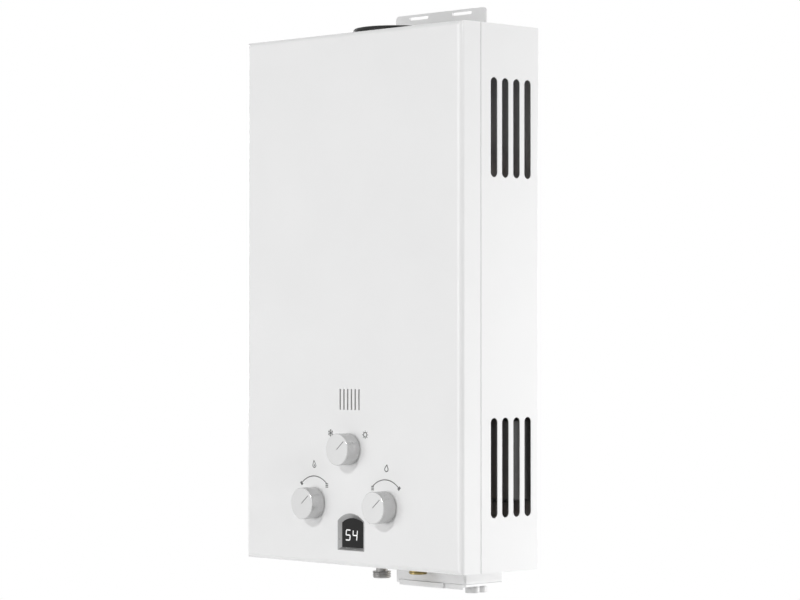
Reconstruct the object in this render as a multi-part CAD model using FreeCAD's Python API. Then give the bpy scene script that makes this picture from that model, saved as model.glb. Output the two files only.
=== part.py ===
import FreeCAD, Part
import math
import os

# Wall-hung instantaneous gas water heater: a sheet-steel casing on two wall
# brackets, with burner, finned heat exchanger, gas and water valves inside.
# Frame: X to the right seen from the front, the front faces -Y, the wall is the
# plane Y = 0, Z is up. The origin lies midway between the two hanging slots.
# All sizes are in millimetres.

os.makedirs("parts", exist_ok=True)

# Casing
casing_width = 344.0
casing_height = 590.0
casing_depth = 122.0
cover_depth = 30.0
wall_gap = 22.5
sheet = 1.0
bend_radius = 5.5
lip_depth = 12.0
seam_gap = 0.8
slip_gap = 0.15
fit_gap = 0.2
running_gap = 0.05
joint_gap = 0.4

# Side vents
vent_width = 10.5
vent_length = 107.5
vent_pitch = 17.6
vent_count = 4
vent_rear_margin = 44.8
vent_low_height = 58.5
vent_high_height = 424.5
floor_vent_count = 4
floor_vent_width = 6.0

# Wall brackets
bracket_width = 144.0
bracket_sheet = 2.0
bracket_rise = 33.5
bracket_drop = 60.0
bracket_foot = 15.0
hanger_rise = 29.0
slot_pitch = 69.0
slot_length = 31.0
slot_width = 3.6
bracket_corner = 5.0
lower_bracket_height = 80.0

# Flue
flue_radius = 48.0
flue_wall = 1.5
flue_step = 1.0
flue_rise = 8.0
flue_roll = 3.5
flue_from_back = 51.0

# Combustion chamber and heat exchanger
chamber_width = 190.0
chamber_depth = 72.0
chamber_base = 190.0
chamber_height = 265.0
tube_radius = 5.0
tube_wall = 1.0
tube_rows = 5
tube_pitch = 14.0
fin_count = 8
fin_height = 40.0
exchanger_drop = 30.0
hood_height = 120.0
hood_neck = 30.0

# Burner
bar_count = 6
bar_pitch = 30.0
bar_width = 14.0
bar_neck = 6.0
bar_round = 4.0
bar_height = 42.0
bar_port_count = 5
bar_port = 2.0
burner_frame_height = 52.0
inlet_radius = 4.5
manifold_size = 12.0
nozzle_radius = 3.0
nozzle_length = 6.0

# Knobs and spindles
knob_radius = 17.5
knob_length = 18.8
knob_gap = 1.0
knob_chamfer = 0.6
pointer_width = 0.9
pointer_depth = 0.4
pointer_reach = 0.82
pointer_angle = 50.0
knob_pitch = 114.0
knob_low_height = 67.4
knob_high_height = 129.0
spindle_radius = 3.0
spindle_grip = 12.0
gland_radius = 7.0
gland_length = 6.0

# Display and sight window
display_x = 2.5
display_width = 42.0
display_base = 17.0
display_straight = 32.3
display_arch = 8.8
display_lip = 0.6
display_frame = 2.6
display_visor = 2.0
display_recess = 3.2
lens_thickness = 2.0
module_depth = 10.0
window_slot_count = 6
window_slot_pitch = 6.0
window_slot_width = 2.2
window_slot_height = 23.0
window_base = 172.2
window_margin = 5.0

# Gas side
gas_valve_width = 80.0
gas_valve_depth = 64.0
gas_valve_height = 58.0
gas_valve_base = 42.0
gas_valve_setback = 26.0
casting_radius = 3.0
selector_width = 36.0
selector_depth = 30.0
selector_height = 36.0
solenoid_radius = 13.0
solenoid_length = 32.0
thread_radius = 10.478
neck_radius = 6.5
thread_length = 7.5
locknut_margin = 1.3
thread_clear = 1.0
gas_inlet_x = -26.0
gas_inlet_setback = 75.0
gas_inlet_drop = 19.0

# Water side
water_valve_width = 50.0
water_valve_depth = 38.0
water_valve_height = 54.0
water_valve_base = 55.0
water_valve_setback = 24.0
water_valve_left = 42.0
diaphragm_radius = 27.0
diaphragm_screw_count = 4
cold_inlet_x = 74.5
cold_inlet_setback = 32.6
cold_inlet_drop = 6.2
hot_outlet_x = 6.0
hot_outlet_setback = 99.0
hot_outlet_drop = 19.0
pipe_radius = 6.0
pipe_side_gap = 33.0
pipe_bend = 14.0

# Flow switch between the two valves
rod_radius = 3.0
rod_stroke = 4.0
switch_length = 10.0
switch_height = 20.0
switch_thickness = 6.0
lever_arm = 14.0
lever_sheet = 1.0
pin_radius = 1.0

# Battery box
battery_width = 105.0
battery_depth = 61.3
battery_left = 26.0
battery_setback = 47.5
battery_drop = 21.0
battery_wall = 2.0
battery_corner = 3.0
cell_radius = 17.1
cell_length = 61.5
lid_sheet = 2.7
lid_skirt = 2.9
lid_lip_inset = 13.0
hinge_radius = 2.0
hinge_pin = 1.0
ear_length = 4.0
latch_offset = 3.0
latch_reach = 13.75
latch_lobe = 8.0
latch_height = 7.9
cam_length = 20.0
cam_overlap = 3.0

# Spark generator
igniter_height = 88.5
igniter_depth = 30.0
igniter_rise = 20.0
terminal_radius = 3.5
terminal_count = 3

# Planes that the sizes give
front_y = -(casing_depth + wall_gap)
back_y = -wall_gap
seam_y = front_y + cover_depth
base_z = -(casing_height + hanger_rise)
top_z = base_z + casing_height
side_x = casing_width / 2
inside_x = side_x - sheet
flue_y = back_y - flue_from_back


def point(x, y, z):
    return FreeCAD.Vector(x, y, z)


def block(x0, x1, y0, y1, z0, z1):
    return Part.makeBox(x1 - x0, y1 - y0, z1 - z0, point(x0, y0, z0))


def rod_x(radius, x0, x1, y, z):
    return Part.makeCylinder(radius, x1 - x0, point(x0, y, z), point(1, 0, 0))


def rod_y(radius, y0, y1, x, z):
    return Part.makeCylinder(radius, y1 - y0, point(x, y0, z), point(0, 1, 0))


def rod_z(radius, z0, z1, x, y):
    return Part.makeCylinder(radius, z1 - z0, point(x, y, z0), point(0, 0, 1))


def joined(shapes):
    first = shapes[0]
    return first.multiFuse(shapes[1:]).removeSplitter()


def spread(count, pitch):
    start = -pitch * (count - 1) / 2
    return [start + pitch * i for i in range(count)]


def edges_where(shape, test):
    return [edge for edge in shape.Edges if test(edge.BoundBox)]


def swept(points, radius, bend):
    corners = [point(*p) for p in points]
    pieces = []
    start = corners[0]
    for i in range(1, len(corners) - 1):
        back = (corners[i - 1] - corners[i]).normalize()
        ahead = (corners[i + 1] - corners[i]).normalize()
        enter = corners[i] + back * bend
        leave = corners[i] + ahead * bend
        middle = corners[i] + (back + ahead) * bend * (1 - math.sqrt(0.5))
        pieces.append(Part.LineSegment(start, enter).toShape())
        pieces.append(Part.Arc(enter, middle, leave).toShape())
        start = leave
    pieces.append(Part.LineSegment(start, corners[-1]).toShape())
    path = Part.Wire(pieces)
    along = corners[1] - corners[0]
    ring = Part.Wire(Part.makeCircle(radius, corners[0], along))
    return path.makePipeShell([ring], True, True)


def tube(points, radius, wall, bend):
    return swept(points, radius, bend).cut(swept(points, radius - wall, bend))


def save(name, shape):
    shape.exportStep("parts/" + name + ".step")


# Rear casing: the bent steel tray that carries everything. Its sides, top and
# floor step inwards at the seam to make the lip that the front cover slides over.
edge_y = seam_y + seam_gap
tray = block(-side_x, side_x, edge_y, back_y, base_z, top_z)
tray = tray.makeFillet(
    2 * sheet,
    edges_where(tray, lambda b: b.YMin > back_y - sheet and b.ZLength > casing_height / 2),
)
tray = tray.cut(block(-inside_x, inside_x, seam_y - sheet, back_y - sheet, base_z + sheet, top_z - sheet))
lip_x = inside_x - slip_gap
lip_low = base_z + sheet + slip_gap
lip_high = top_z - sheet - slip_gap
step = block(-side_x, side_x, edge_y, edge_y + sheet, base_z, top_z)
lip = block(-lip_x, lip_x, seam_y - lip_depth, edge_y + sheet, lip_low, lip_high)
lip_core = block(
    -lip_x + sheet,
    lip_x - sheet,
    seam_y - 2 * lip_depth,
    edge_y + 2 * sheet,
    lip_low + sheet,
    lip_high - sheet,
)
tray = joined([tray, step, lip]).cut(lip_core)

vent_centres = [back_y - vent_rear_margin + y for y in spread(vent_count, vent_pitch)]
for low in (base_z + vent_low_height, base_z + vent_high_height):
    for y in vent_centres:
        bottom = low + vent_width / 2
        top = low + vent_length - vent_width / 2
        cutter = block(-side_x - sheet, side_x + sheet, y - vent_width / 2, y + vent_width / 2, bottom, top)
        for end in (bottom, top):
            cutter = cutter.fuse(rod_x(vent_width / 2, -side_x - sheet, side_x + sheet, y, end))
        tray = tray.cut(cutter)

gas_inlet_y = front_y + gas_inlet_setback
hot_outlet_y = front_y + hot_outlet_setback
cold_inlet_y = front_y + cold_inlet_setback
floor_holes = []
for x, y in (
    (gas_inlet_x, gas_inlet_y),
    (hot_outlet_x, hot_outlet_y),
    (cold_inlet_x, cold_inlet_y),
):
    floor_holes.append(rod_z(thread_radius + 2 * fit_gap, base_z - sheet, lip_low + 2 * sheet, x, y))
battery_right = battery_left + battery_width
battery_front = front_y + battery_setback
battery_back = battery_front + battery_depth
floor_holes.append(
    block(
        battery_left - fit_gap,
        battery_right + fit_gap,
        battery_front - fit_gap,
        battery_back + fit_gap,
        base_z - sheet,
        base_z + 2 * sheet,
    )
)
floor_vent_y0 = seam_y + lip_depth
floor_vent_y1 = back_y - lip_depth
for x in spread(floor_vent_count, 2 * floor_vent_width):
    centre = x - side_x + 4 * floor_vent_width
    left = centre - floor_vent_width / 2
    right = centre + floor_vent_width / 2
    floor_holes.append(block(left, right, floor_vent_y0, floor_vent_y1, base_z - sheet, base_z + 2 * sheet))
tray = tray.cut(floor_holes)
spigot_radius = flue_radius - flue_step
tray = tray.cut(rod_z(spigot_radius + fit_gap, lip_high - 2 * sheet, top_z + sheet, 0, flue_y))

# Cover screws go up through the cover's floor and the lip.
screw_radius = 2.0
screw_head = 4.0
screw_x = side_x - 3 * lip_depth
screw_y = seam_y - lip_depth / 2
screw_holes = [
    rod_z(screw_radius + fit_gap / 2, base_z - sheet, lip_low + 2 * sheet, x, screw_y)
    for x in (-screw_x, screw_x)
]
save("rear_casing", tray.cut(screw_holes))

# Front cover: a shallow bent pan with the openings for the knobs, the display
# and the burner window.
pan = block(-side_x, side_x, front_y, seam_y, base_z, top_z)
pan = pan.makeFillet(bend_radius, edges_where(pan, lambda b: b.YMax < front_y + sheet))
core = block(-inside_x, inside_x, front_y + sheet, seam_y, base_z + sheet, top_z - sheet)
core = core.makeFillet(
    bend_radius - sheet,
    edges_where(core, lambda b: b.YMax < front_y + 2 * sheet),
)
pan = pan.cut(core)


def arch_outline(inset, drop, y):
    left = display_x - display_width / 2 + inset
    right = display_x + display_width / 2 - inset
    low = base_z + display_base + inset
    shoulder = base_z + display_base + display_straight - drop
    crown = shoulder + display_arch - inset
    return Part.Wire(
        [
            Part.LineSegment(point(left, y, shoulder), point(left, y, low)).toShape(),
            Part.LineSegment(point(left, y, low), point(right, y, low)).toShape(),
            Part.LineSegment(point(right, y, low), point(right, y, shoulder)).toShape(),
            Part.Arc(
                point(right, y, shoulder),
                point(display_x, y, crown),
                point(left, y, shoulder),
            ).toShape(),
        ]
    )


def arch(inset, y0, y1):
    return Part.Face(arch_outline(inset, 0, y0)).extrude(point(0, y1 - y0, 0))


knob_places = {
    "season": (0.0, base_z + knob_high_height),
    "gas": (-knob_pitch / 2, base_z + knob_low_height),
    "water": (knob_pitch / 2, base_z + knob_low_height),
}
panel_back = front_y + sheet
spindle_hole = spindle_radius + 2 * sheet
openings = [
    rod_y(spindle_hole, front_y - sheet, panel_back + sheet, x, z)
    for x, z in knob_places.values()
]
openings.append(arch(display_lip, front_y - sheet, panel_back + sheet))
window_z0 = base_z + window_base
window_z1 = window_z0 + window_slot_height
for x in spread(window_slot_count, window_slot_pitch):
    left = x - window_slot_width / 2
    right = x + window_slot_width / 2
    openings.append(block(left, right, front_y - sheet, panel_back + sheet, window_z0, window_z1))
openings.append(
    rod_z(thread_radius + 2 * fit_gap, base_z - sheet, base_z + 2 * sheet, cold_inlet_x, cold_inlet_y)
)
openings.append(rod_z(flue_radius + sheet, top_z - 2 * sheet, top_z + sheet, 0, flue_y))
save("front_cover", pan.cut(openings).cut(screw_holes))

screws = []
for x in (-screw_x, screw_x):
    shank = rod_z(screw_radius, base_z, lip_low + 3 * sheet, x, screw_y)
    head = rod_z(screw_head, base_z - screw_radius, base_z, x, screw_y)
    screws.append(joined([shank, head]))
save("cover_screws", Part.makeCompound(screws))

# Burner window pane, a strip of mica behind the slots of the cover.
window_half = window_slot_pitch * (window_slot_count - 1) / 2 + window_slot_width + window_margin
save(
    "sight_glass",
    block(
        -window_half,
        window_half,
        panel_back,
        panel_back + sheet,
        window_z0 - window_margin,
        window_z1 + window_margin,
    ),
)


# Wall brackets: a plate on the wall with two bent sides and two feet that are
# welded to the back of the casing.
def wall_bracket(name, low, flange_top, high, slot_z):
    half = bracket_width / 2
    plate = block(-half, half, -bracket_sheet, 0, low, high)
    plate = plate.makeFillet(
        bracket_corner,
        edges_where(plate, lambda b: b.ZMin > high - sheet and b.XLength < sheet and b.YLength > sheet),
    )
    pieces = [plate]
    for side in (-1, 1):
        inner = side * (half - bracket_sheet)
        outer = side * half
        tip = side * (half + bracket_foot)
        flange = (min(inner, outer), max(inner, outer), back_y, 0)
        foot = (min(inner, tip), max(inner, tip), back_y, back_y + bracket_sheet)
        pieces.append(block(*flange, low, flange_top))
        pieces.append(block(*foot, low, flange_top))
    bracket = joined(pieces)
    run = slot_length - slot_width
    for x in (-slot_pitch / 2, slot_pitch / 2):
        for end in (-run / 2, run / 2):
            bracket = bracket.cut(rod_y(slot_width / 2, -2 * bracket_sheet, bracket_sheet, x + end, slot_z))
        left = x - run / 2
        right = x + run / 2
        low_edge = slot_z - slot_width / 2
        high_edge = slot_z + slot_width / 2
        bracket = bracket.cut(block(left, right, -2 * bracket_sheet, bracket_sheet, low_edge, high_edge))
    save(name, bracket)


wall_bracket(
    "top_wall_bracket",
    top_z - bracket_drop,
    top_z - bracket_corner,
    top_z + bracket_rise,
    0,
)
lower_z = base_z + lower_bracket_height
wall_bracket(
    "bottom_wall_bracket",
    lower_z - bracket_drop / 2,
    lower_z + bracket_drop / 2,
    lower_z + bracket_drop / 2,
    lower_z,
)

# Combustion chamber: a copper-steel shaft, open above and below, on four tabs
# against the back of the casing. The exchanger's tubes pass through its sides.
chamber_x = chamber_width / 2
chamber_front = flue_y - chamber_depth / 2
chamber_back = flue_y + chamber_depth / 2
chamber_low = base_z + chamber_base
chamber_high = chamber_low + chamber_height
inner_back_y = back_y - sheet
shaft = block(-chamber_x, chamber_x, chamber_front, chamber_back, chamber_low, chamber_high)
shaft = shaft.cut(
    block(
        -chamber_x + sheet,
        chamber_x - sheet,
        chamber_front + sheet,
        chamber_back - sheet,
        chamber_low - sheet,
        chamber_high + sheet,
    )
)
tabs = []
for x in (-chamber_x, chamber_x - lip_depth):
    for z in (chamber_low + lip_depth, chamber_high - 2 * lip_depth):
        tabs.append(block(x, x + lip_depth, chamber_back, inner_back_y, z, z + lip_depth))
shaft = joined([shaft] + tabs)
tube_z = chamber_high - exchanger_drop
row_ys = [flue_y + y for y in spread(tube_rows, tube_pitch)]
tube_end = chamber_x + tube_pitch / 2
tube_holes = [
    rod_x(tube_radius + running_gap, -tube_end, tube_end, y, tube_z) for y in row_ys
]
save("combustion_chamber", shaft.cut(tube_holes))

# Fin block: thin plates brazed to the tubes, their folded edges joined front and back.
fin_front = chamber_front + sheet
fin_back = chamber_back - sheet
fin_low = tube_z - fin_height / 2
fin_high = tube_z + fin_height / 2
fin_span = chamber_width - 4 * tube_radius
fins = []
for x in spread(fin_count, fin_span / (fin_count - 1)):
    fins.append(block(x - sheet / 2, x + sheet / 2, fin_front, fin_back, fin_low, fin_high))
for y in (fin_front, fin_back - sheet):
    fins.append(block(-fin_span / 2, fin_span / 2, y, y + sheet, fin_low, fin_high))
save("fin_block", joined(fins).cut(tube_holes))

# Exchanger tube: straight rows joined by return bends on alternate sides.
water_tube = []
for i, y in enumerate(row_ys):
    water_tube.append(rod_x(tube_radius, -tube_end, tube_end, y, tube_z))
    if i < tube_rows - 1:
        side = -1 if i % 2 == 0 else 1
        centre = point(side * tube_end, y + tube_pitch / 2, tube_z)
        bend = Part.makeTorus(tube_pitch / 2, tube_radius, centre, point(0, 0, 1))
        outer = side * (tube_end + 2 * tube_pitch)
        keep = block(
            min(side * tube_end, outer),
            max(side * tube_end, outer),
            y - tube_pitch,
            y + 2 * tube_pitch,
            tube_z - tube_pitch,
            tube_z + tube_pitch,
        )
        water_tube.append(bend.common(keep))
save("exchanger_tube", joined(water_tube))

# Draught hood: a sheet hood that narrows from the chamber to the flue.
hood_low = chamber_high
hood_high = hood_low + hood_height
hood_half = flue_radius + fit_gap


def frustum(low_half_x, low_half_y, low, high_half_x, high_half_y, high):
    rings = []
    for half_x, half_y, z in ((low_half_x, low_half_y, low), (high_half_x, high_half_y, high)):
        rings.append(
            [
                point(-half_x, flue_y - half_y, z),
                point(half_x, flue_y - half_y, z),
                point(half_x, flue_y + half_y, z),
                point(-half_x, flue_y + half_y, z),
            ]
        )
    bottom, top = rings
    outlines = [bottom, top]
    for i in range(4):
        j = (i + 1) % 4
        outlines.append([bottom[i], bottom[j], top[j], top[i]])
    faces = [Part.Face(Part.makePolygon(o + o[:1])) for o in outlines]
    solid = Part.Solid(Part.Shell(faces))
    return solid if solid.Volume > 0 else solid.reversed()


def hood_solid(inset, low, high):
    knee = hood_high - hood_neck
    half = hood_half - inset
    skirt = frustum(chamber_x - inset, chamber_depth / 2 - inset, low, half, half, knee)
    neck = block(-half, half, flue_y - half, flue_y + half, knee, high)
    return skirt.fuse(neck)


hood = hood_solid(0, hood_low, hood_high).cut(hood_solid(sheet, hood_low, hood_high - sheet))
flue_bore = flue_radius - flue_wall
spigot_bore = spigot_radius - flue_wall
hood = hood.cut(rod_z(spigot_bore, hood_high - 2 * sheet, hood_high + sheet, 0, flue_y))
save("draught_hood", hood)

# Flue collar: a stepped ring spun from sheet that stands on the hood and comes
# out through the casing's top. Its upper edge is rolled inwards.
flue_shoulder = top_z + flue_step
roll_low = top_z + flue_rise - flue_roll
mouth = flue_radius - flue_roll


def collar_line(corners):
    return Part.makePolygon([point(radius, flue_y, z) for radius, z in corners]).Edges


def rolled_edge(bend):
    diagonal = bend * math.sqrt(0.5)
    side = point(mouth + bend, flue_y, roll_low)
    middle = point(mouth + diagonal, flue_y, roll_low + diagonal)
    crest = point(mouth, flue_y, roll_low + bend)
    return Part.Arc(side, middle, crest).toShape()


outside = collar_line(
    [
        (spigot_bore, hood_high),
        (spigot_radius, hood_high),
        (spigot_radius, flue_shoulder),
        (flue_radius, flue_shoulder),
        (flue_radius, roll_low),
    ]
)
inner_bend = flue_roll - flue_wall
brim = collar_line([(mouth, roll_low + flue_roll), (mouth, roll_low + inner_bend)])
inside = collar_line(
    [
        (flue_bore, roll_low),
        (flue_bore, flue_shoulder + flue_wall),
        (spigot_bore, flue_shoulder + flue_wall),
        (spigot_bore, hood_high),
    ]
)
section = Part.Wire(outside + [rolled_edge(flue_roll)] + brim + [rolled_edge(inner_bend)] + inside)
collar = Part.Face(section).revolve(point(0, flue_y, 0), point(0, 0, 1), 360)
save("flue_collar", collar)

# Overheat cut-out, a small disc on the side of the chamber.
cutout_y = flue_y
cutout_z = fin_low - 2 * solenoid_radius
save("overheat_cutout", rod_x(solenoid_radius / 2, chamber_x, chamber_x + gland_length, cutout_y, cutout_z))

# Burner frame: a sheet frame under the chamber with two ledges for the bars and
# a window in front for the gas nozzles.
frame_low = chamber_low - burner_frame_height
burner_frame = block(-chamber_x, chamber_x, chamber_front, chamber_back, frame_low, chamber_low)
burner_frame = burner_frame.cut(
    block(
        -chamber_x + sheet,
        chamber_x - sheet,
        chamber_front + sheet,
        chamber_back - sheet,
        frame_low - sheet,
        chamber_low + sheet,
    )
)
ledge = 8 * sheet
ledges = [
    block(-chamber_x + sheet, chamber_x - sheet, y, y + ledge, frame_low, frame_low + sheet)
    for y in (chamber_front + sheet, chamber_back - sheet - ledge)
]
burner_frame = joined([burner_frame] + ledges)
bar_low = frame_low + sheet
bar_high = bar_low + bar_height
inlet_z = bar_low + bar_width / 2
nozzle_window = bar_pitch * (bar_count - 1) / 2 + bar_width / 2
burner_frame = burner_frame.cut(
    block(
        -nozzle_window,
        nozzle_window,
        chamber_front - sheet,
        chamber_front + sheet,
        bar_low + sheet,
        bar_low + 2 * bar_width,
    )
)
electrode_radius = 2.5
electrode_z = bar_high + 2 * electrode_radius
electrode_x = bar_pitch / 2
electrode_holes = [
    rod_y(electrode_radius + running_gap, chamber_front - lip_depth, chamber_front + ledge, x, electrode_z)
    for x in (-electrode_x, electrode_x)
]
save("burner_frame", burner_frame.cut(electrode_holes))

# Burner bars: folded stainless bars, each a mixing tube below, a narrow neck and
# a rounded head with ports.
bar_front = chamber_front + 2 * sheet
bar_back = chamber_back - 2 * sheet
port_pitch = (bar_back - bar_front) / bar_port_count


def bar_profile(x):
    half = bar_width / 2
    neck = bar_neck / 2
    tube_top = bar_low + bar_width
    head_low = bar_high - bar_width
    slope = half - neck
    outline = [
        (x - half, bar_low),
        (x + half, bar_low),
        (x + half, tube_top - slope),
        (x + neck, tube_top),
        (x + neck, head_low),
        (x + half, head_low + slope),
        (x + half, bar_high),
        (x - half, bar_high),
        (x - half, head_low + slope),
        (x - neck, head_low),
        (x - neck, tube_top),
        (x - half, tube_top - slope),
    ]
    corners = [point(px, bar_front, pz) for px, pz in outline]
    face = Part.Face(Part.makePolygon(corners + corners[:1]))
    return face.extrude(point(0, bar_back - bar_front, 0))


for number, x in enumerate(spread(bar_count, bar_pitch), 1):
    bar = bar_profile(x)
    bar = bar.makeFillet(
        bar_round,
        edges_where(bar, lambda b: b.ZMin > bar_high - sheet and b.XLength < sheet),
    )
    cuts = [rod_y(inlet_radius, bar_front - sheet, bar_front + 2 * bar_width, x, inlet_z)]
    half = bar_width / 2
    for y in spread(bar_port_count, port_pitch):
        low_y = flue_y + y - bar_port / 2
        cuts.append(block(x - half, x + half, low_y, low_y + bar_port, bar_high - bar_neck, bar_high))
    save("burner_bar_" + str(number), bar.cut(cuts))

# Gas manifold: a square pipe in front of the burner, one nozzle for each bar.
manifold_back = chamber_front - nozzle_length
manifold_front = manifold_back - manifold_size
manifold_low = inlet_z - manifold_size / 2
manifold_high = inlet_z + manifold_size / 2
manifold_half = nozzle_window + nozzle_radius
manifold = [
    block(-manifold_half, manifold_half, manifold_front, manifold_back, manifold_low, manifold_high)
]
for x in spread(bar_count, bar_pitch):
    manifold.append(rod_y(nozzle_radius, manifold_back, chamber_front, x, inlet_z))
tab_low = manifold_low
for x in (-manifold_half, manifold_half - nozzle_radius + sheet):
    tab_right = x + nozzle_radius - sheet
    manifold.append(block(x, tab_right, manifold_back, chamber_front, tab_low, manifold_high))
save("gas_manifold", joined(manifold))

# Spark electrode and flame probe: ceramic rods held by a plate on the frame.
holder = block(
    -electrode_x - lip_depth / 2,
    electrode_x + lip_depth / 2,
    chamber_front - 2 * sheet,
    chamber_front,
    electrode_z - lip_depth / 2,
    electrode_z + lip_depth / 2,
)
save("electrode_holder", holder.cut(electrode_holes))
for name, x in (("spark_electrode", -electrode_x), ("flame_probe", electrode_x)):
    body = rod_y(electrode_radius, chamber_front - lip_depth, chamber_front + ledge, x, electrode_z)
    needle = rod_y(electrode_radius / 3, chamber_front + ledge, chamber_front + 3 * ledge, x, electrode_z)
    save(name, joined([body, needle]))


# Knobs, their spindles and the glands that the spindles turn in.
knob_back = front_y - knob_gap
knob_front = knob_back - knob_length
gas_valve_front = front_y + gas_valve_setback
water_valve_front = front_y + water_valve_setback
selector_front = front_y + water_valve_setback - joint_gap * 10
valve_fronts = {
    "season": selector_front,
    "gas": gas_valve_front,
    "water": water_valve_front,
}
spindle_bores = {}
for name, (x, z) in knob_places.items():
    face = valve_fronts[name]
    grip_front = knob_back - spindle_grip
    spindle_end = face + spindle_grip
    half_profile = [
        point(x, knob_front, z),
        point(x + knob_radius - knob_chamfer, knob_front, z),
        point(x + knob_radius, knob_front + knob_chamfer, z),
        point(x + knob_radius, knob_back, z),
        point(x, knob_back, z),
    ]
    knob = Part.Face(Part.makePolygon(half_profile + half_profile[:1]))
    knob = knob.revolve(point(x, 0, z), point(0, 1, 0), 360)
    pointer = block(
        x - pointer_width / 2,
        x + pointer_width / 2,
        knob_front - pointer_depth,
        knob_front + pointer_depth,
        z,
        z + knob_radius * pointer_reach,
    )
    pointer.rotate(point(x, 0, z), point(0, 1, 0), pointer_angle)
    bore = rod_y(spindle_radius + running_gap, grip_front, knob_back + sheet, x, z)
    save("knob_" + name, knob.cut([bore, pointer]))
    save("spindle_" + name, rod_y(spindle_radius, grip_front, spindle_end, x, z))
    gland = rod_y(gland_radius, face - gland_length, face, x, z)
    bore = rod_y(spindle_radius + running_gap, face - 2 * gland_length, spindle_end + sheet, x, z)
    save("gland_" + name, gland.cut(bore))
    spindle_bores[name] = bore

# Display: an arched bezel let into the cover, its opening narrowing like a funnel
# towards the dark pane, most at the top, and the module behind the pane.
body_inset = display_lip + fit_gap / 2
lens_front = front_y + display_recess
lens_back = lens_front + lens_thickness
bezel = joined(
    [
        arch(0, front_y - display_lip, front_y),
        arch(body_inset, front_y, lens_front),
    ]
)
funnel = [
    arch_outline(display_lip, 0, front_y - display_lip),
    arch_outline(display_lip + display_frame, display_visor, lens_front),
]
bezel = bezel.cut(Part.makeLoft(funnel, True))
save("display_bezel", bezel)
save("display_lens", arch(body_inset, lens_front, lens_back))
save("display_module", arch(body_inset, lens_back, lens_back + module_depth))

# Gas valve: a cast block on two feet, with the inlet below and the solenoid at
# its side. The push rod of the flow switch enters its right face.
gas_right = gas_inlet_x + 2 * thread_radius + sheet
gas_left = gas_right - gas_valve_width
gas_back = gas_valve_front + gas_valve_depth
gas_low = base_z + gas_valve_base
gas_high = gas_low + gas_valve_height
foot = 8 * sheet


def casting(x0, x1, y0, y1, z0, z1):
    body = block(x0, x1, y0, y1, z0, z1)
    return body.makeFillet(casting_radius, body.Edges)


gas_valve = [casting(gas_left, gas_right, gas_valve_front, gas_back, gas_low, gas_high)]
foot_high = gas_low + casting_radius
foot_back = gas_back - casting_radius
for x in (gas_left + casting_radius, gas_right - foot - casting_radius):
    gas_valve.append(block(x, x + foot, foot_back - foot, foot_back, base_z + sheet, foot_high))
gas_valve = joined(gas_valve)
water_low = base_z + water_valve_base
water_high = water_low + water_valve_height
rod_z_level = water_low + diaphragm_radius
water_left = water_valve_left
water_right = water_left + water_valve_width
rod_y_level = water_valve_front + diaphragm_radius - 2 * battery_wall
rod_tip = gas_right - spindle_grip
rod_bore_radius = rod_radius + running_gap
rod_bore = rod_x(rod_bore_radius, rod_tip - rod_stroke - sheet, water_left, rod_y_level, rod_z_level)
save("gas_valve_body", gas_valve.cut([spindle_bores["gas"], rod_bore]))

selector_back = selector_front + selector_depth
selector_high = gas_high + selector_height
riser = manifold_front + manifold_size * 0.75
selector = joined(
    [
        block(
            -selector_width / 2,
            selector_width / 2,
            selector_front,
            selector_back,
            gas_high,
            selector_high,
        ),
        block(
            -selector_width / 4,
            selector_width / 4,
            selector_front,
            riser,
            selector_high,
            manifold_low,
        ),
    ]
)
save("season_selector", selector.cut(spindle_bores["season"]))

solenoid_y = gas_valve_front + gas_valve_depth / 2
solenoid_z = gas_low + gas_valve_height / 2
coil = rod_x(solenoid_radius, gas_left - solenoid_length, gas_left, solenoid_y, solenoid_z)
save("gas_solenoid", coil)


# Threaded connections: a tube with a threaded end below the casing's floor.
def fitting(x, y, high, drop, thread, neck):
    low = base_z - drop
    body = joined(
        [
            rod_z(neck, low, high, x, y),
            rod_z(thread_radius, low, low + thread, x, y),
        ]
    )
    return body.cut(rod_z(neck - 2 * sheet, low - sheet, high - 2 * sheet, x, y))


save(
    "gas_inlet",
    fitting(gas_inlet_x, gas_inlet_y, gas_low, gas_inlet_drop, thread_length, neck_radius),
)
save(
    "cold_inlet",
    fitting(
        cold_inlet_x,
        cold_inlet_y,
        water_low,
        cold_inlet_drop,
        cold_inlet_drop - thread_clear,
        neck_radius + sheet,
    ),
)
elbow_low = base_z + 2 * thread_radius
elbow_high = elbow_low + 3 * pipe_radius
elbow_z = (elbow_low + elbow_high) / 2
elbow_half = 1.5 * pipe_radius
outlet = fitting(hot_outlet_x, hot_outlet_y, elbow_low, hot_outlet_drop, thread_length, neck_radius)
locknut = rod_z(
    thread_radius + locknut_margin, base_z + sheet, base_z + 3 * sheet, hot_outlet_x, hot_outlet_y
)
outlet = joined(
    [
        outlet,
        locknut.cut(rod_z(neck_radius - 2 * sheet, base_z, base_z + 4 * sheet, hot_outlet_x, hot_outlet_y)),
        block(
            hot_outlet_x - elbow_half,
            hot_outlet_x + elbow_half,
            hot_outlet_y - elbow_half,
            hot_outlet_y + elbow_half,
            elbow_low,
            elbow_high,
        ),
    ]
)
save("hot_outlet", outlet)

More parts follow.
